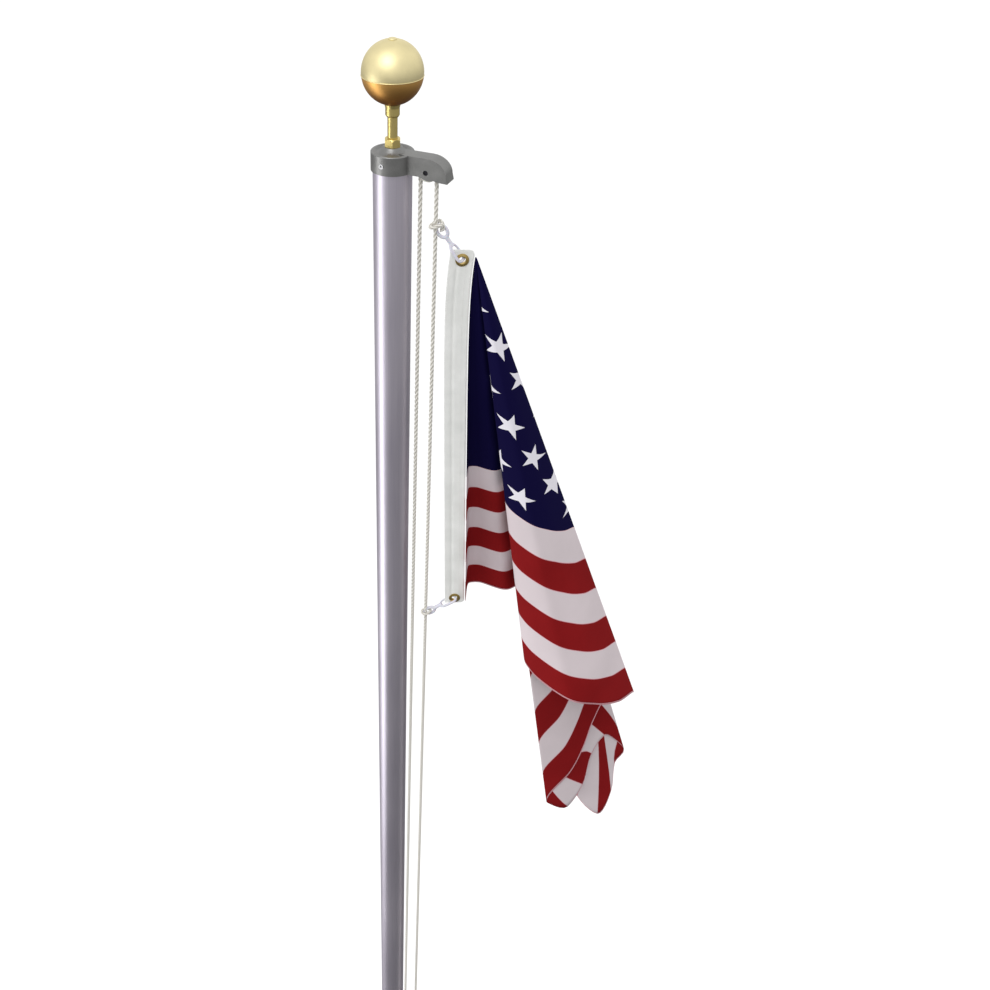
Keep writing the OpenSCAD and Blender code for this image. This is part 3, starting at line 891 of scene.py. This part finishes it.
def fine_creases(spacing):
    """The creases with smooth rows between them, close enough together for round folds."""
    columns = list(zip(*CREASES))
    angles = columns[0]
    curves = [(ys, gentle_slopes(angles, ys)) for ys in columns[1:]]
    rows = []
    for i in range(len(angles) - 1):
        a, b = CREASES[i], CREASES[i + 1]
        h = angles[i + 1] - angles[i]
        count = max(3, math.ceil(math.hypot(b[1] - a[1], b[2] - a[2], h * 0.5) / spacing))
        for k in range(count):
            t = k / count
            row = [angles[i] + h * t]
            for ys, slopes in curves:
                row.append(ys[i] * (1 + 2 * t) * (1 - t) ** 2 + slopes[i] * h * t * (1 - t) ** 2
                           + ys[i + 1] * t * t * (3 - 2 * t) + slopes[i + 1] * h * t * t * (t - 1))
            rows.append(row)
    rows.append(list(CREASES[-1]))
    return rows


def ease(value, low, high):
    """0 below low, 1 above high, and smooth between them."""
    t = min(1.0, max(0.0, (value - low) / (high - low)))
    return t * t * (3 - 2 * t)


def printed_place(angle, x, y):
    """Where a place on the cloth lies in the print. The weave shears on the bias across the front
    panel, and there is slack gathered beside the hoist."""
    slack = 1 - ease(angle, 16, 30)
    sheared_x = 0.705 * x - 0.174 * y + 0.108
    near_x = sheared_x + (0.25 * x - sheared_x) * slack
    return near_x + (x - near_x) * ease(angle, 50.5, 62), y - 0.112 * (1 - y) * slack


def make_flag(material):
    rows = fine_creases(0.38)
    steps = 96
    corner = HOIST_TOP + ACROSS * CLOTH_OFF
    verts, uvs = [], []
    for angle, out, front, stretch in rows:
        a, out, front = (math.radians(x) for x in (angle, out, front))
        flat_reach = 1 / math.cos(a) if math.tan(a) < FLY_RATIO else FLY_RATIO / math.sin(a)
        line = ((ACROSS * math.sin(out) - UP * math.cos(out)) * math.cos(front)
                + OUTWARD * math.sin(front))
        for k in range(steps + 1):
            part = 0.004 + 0.996 * k / steps
            flat = flat_reach * part
            x, y = flat * math.sin(a), flat * math.cos(a)
            at = corner + line * (flat * HOIST_LEN * stretch)
            at -= ACROSS * hoist_bow(y * HOIST_LEN) * (1 - ease(angle, 0, 20))
            ripple = noise.noise(Vector((x * 9, y * 3, 0.5)))
            verts.append(at + OUTWARD * ripple * 2.2 * MM * min(1.0, angle / 8) * part)
            uvs.append(printed_place(angle, x, y))
    n = steps + 1
    faces = [(r * n + k, r * n + k + 1, (r + 1) * n + k + 1, (r + 1) * n + k)
             for r in range(len(rows) - 1) for k in range(steps)]
    piece = add_piece("flag_sheet", verts, faces, "flag", "flag_cloth", material, ("flag_cloth",))
    lay_uvs(piece, "flat", uvs)
    thicken(piece, CLOTH_T)
    apply_modifiers(piece)


# ---------------------------------------------------------------- metalwork

def rounded_copy(node, name, width, segments, material):
    """The node's own shape with its sharp edges broken, as a casting's are."""
    source = NODES[node]
    mesh = source.data.copy()
    work = bmesh.new()
    work.from_mesh(mesh)
    bmesh.ops.remove_doubles(work, verts=work.verts, dist=1e-6)
    bmesh.ops.dissolve_limit(work, angle_limit=math.radians(1), verts=work.verts, edges=work.edges)
    work.to_mesh(mesh)
    work.free()
    mesh.shade_smooth()
    mesh.materials.clear()
    mesh.materials.append(material)
    piece = bpy.data.objects.new(name, mesh)
    bpy.context.scene.collection.objects.link(piece)
    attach(piece, "pole")
    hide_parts(node)
    bevel = piece.modifiers.new("edges", "BEVEL")
    bevel.width = width
    bevel.segments = segments
    bevel.limit_method = "ANGLE"
    bevel.angle_limit = math.radians(35)
    piece.modifiers.new("flats", "WEIGHTED_NORMAL")
    apply_modifiers(piece)


def make_seam_bead(material):
    """The bright edge where the ball's upper half laps over its lower half: a bead whose paler gold paints
    a highlight along the seam.
    """
    low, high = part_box("ball_lower_half")
    ring_r = (high.x - low.x) / 2
    bead_r = 0.55 * MM
    steps = 144
    loop = [Vector((ring_r * math.cos(a), ring_r * math.sin(a), high.z))
            for a in (2 * math.pi * k / steps for k in range(steps))]
    verts, faces = tube(loop, [bead_r] * steps, 8, True)
    add_piece("ball_seam_bead", verts, faces, "pole", "gold_anodised", material)


def finish_nodes(paints):
    """Gives each carried-over CAD node its material."""
    for nodes, material in paints:
        for node in nodes:
            mesh = NODES[node].data
            mesh.materials.clear()
            mesh.materials.append(material)


make_camera()
make_stage()

rope_paint = laid_rope()
nylon = moulded_nylon("snap_nylon", (0.66, 0.655, 0.74), 0.1)
truck_paint = cast_aluminium("cast_truck", (0.235, 0.235, 0.23))
cleat_paint = cast_aluminium("cast_cleat", (0.55, 0.55, 0.57))
rod_gold = gold("rod_gold", (0.66, 0.53, 0.20), 0.36, (1, 1, 0.1))
upper_gold = gold("upper_gold", (0.78, 0.69, 0.40), 0.48)
ball_low, ball_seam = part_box("ball_lower_half")
lower_gold = lower_gold_with_painted_shade(ball_low.z, ball_seam.z)
# a paler gold than the ball's, painting the highlight along the seam
bead_gold_painted_highlight = gold("bead_gold_painted_highlight", (0.92, 0.78, 0.42), 0.3)
brass = gold("grommet_brass", (0.62, 0.45, 0.16), 0.25)

finish_nodes([
    (("pole_lower_section", "pole_upper_section"), drawn_aluminium()),
    (("flash_collar",), spun_aluminium()),
    (("truck_set_screw_front", "truck_set_screw_rear", "cleat_screw_upper", "cleat_screw_lower"),
     steel("zinc_steel", (0.55, 0.55, 0.56))),
    # the axle is painted near black, as the shade inside the truck's axle hole
    (("sheave_axle",), steel("steel_painted_hole_shade", (0.035, 0.035, 0.04))),
    (("sheave",), moulded_nylon("sheave_nylon", (0.80, 0.79, 0.74), 0.1)),
    (("spindle", "lock_nut", "ball_ferrule"), rod_gold),
    (("ball_upper_half", "ball_plug"), upper_gold),
    (("ball_lower_half",), lower_gold),
    (("upper_grommet", "lower_grommet"), brass),
])
rounded_copy("truck_casting", "truck_body", 1.2 * MM, 3, truck_paint)
rounded_copy("cleat", "cleat_body", 1.2 * MM, 3, cleat_paint)
make_seam_bead(bead_gold_painted_highlight)
make_ropes(rope_paint)
make_snaps(nylon)
header, stitches = make_header(canvas(), moulded_nylon("thread", (0.80, 0.79, 0.77), 0.0))
make_flag(flag_print())
